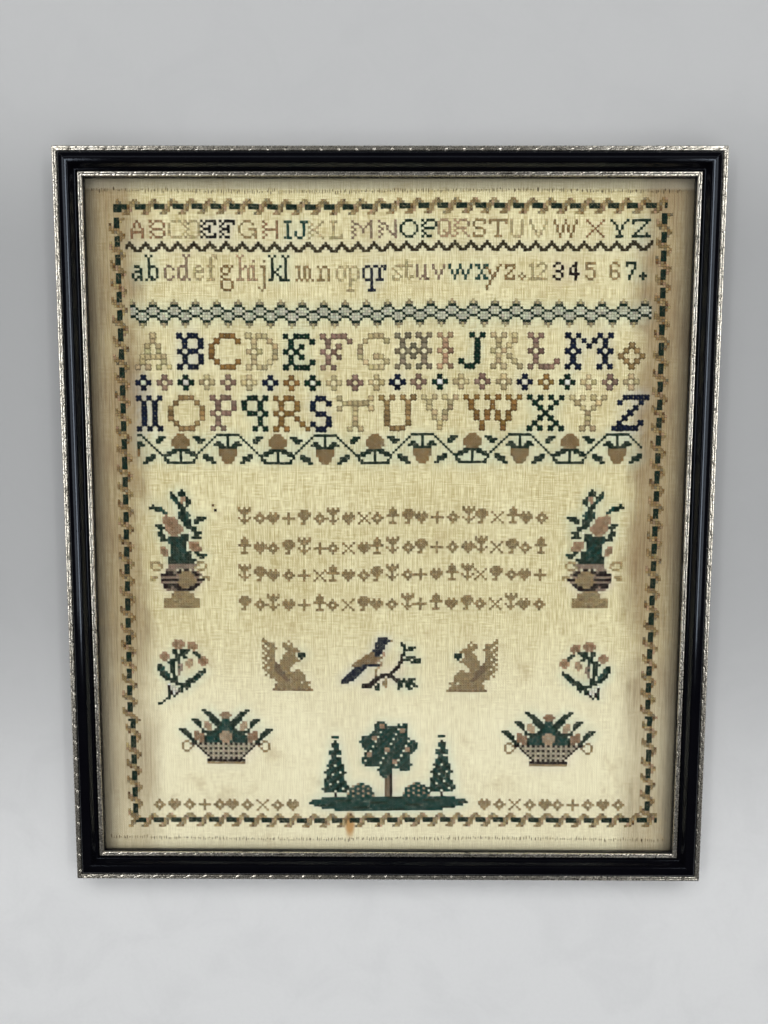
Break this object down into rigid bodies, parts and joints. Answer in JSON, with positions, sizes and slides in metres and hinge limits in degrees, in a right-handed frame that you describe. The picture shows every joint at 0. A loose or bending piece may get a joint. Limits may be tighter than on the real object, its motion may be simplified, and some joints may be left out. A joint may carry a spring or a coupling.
{
  "type": "framed cross stitch sampler with its frame",
  "caption": "Linen cross stitch sampler with alphabets, borders and small motifs, in a black moulded frame with silvered edges, glass and a backing board.",
  "frame": {"origin": "centre of the frame's back plane, on the surface that it lies on", "axes": "+Z out of the picture's face, +Y towards the top of the sampler, +X to its right"},
  "size_m": [0.38, 0.432, 0.019],
  "materials": {
    "lacquer": "black lacquered wood moulding with worn silvered edges",
    "silvering": "worn silver leaf on the moulding's ribbed edge and bead",
    "linen": "aged cream linen with wool and silk cross stitches",
    "thread": "faded wool and silk cross stitches",
    "pane": "clear picture glass",
    "board": "plain thin wooden board"
  },
  "bodies": {
    "root": {"rail_top": "lacquer", "rail_bottom": "lacquer", "rail_left": "lacquer", "rail_right": "lacquer", "sampler_cloth": "linen", "glass": "pane", "backing_board": "board"}
  },
  "joints": []
}
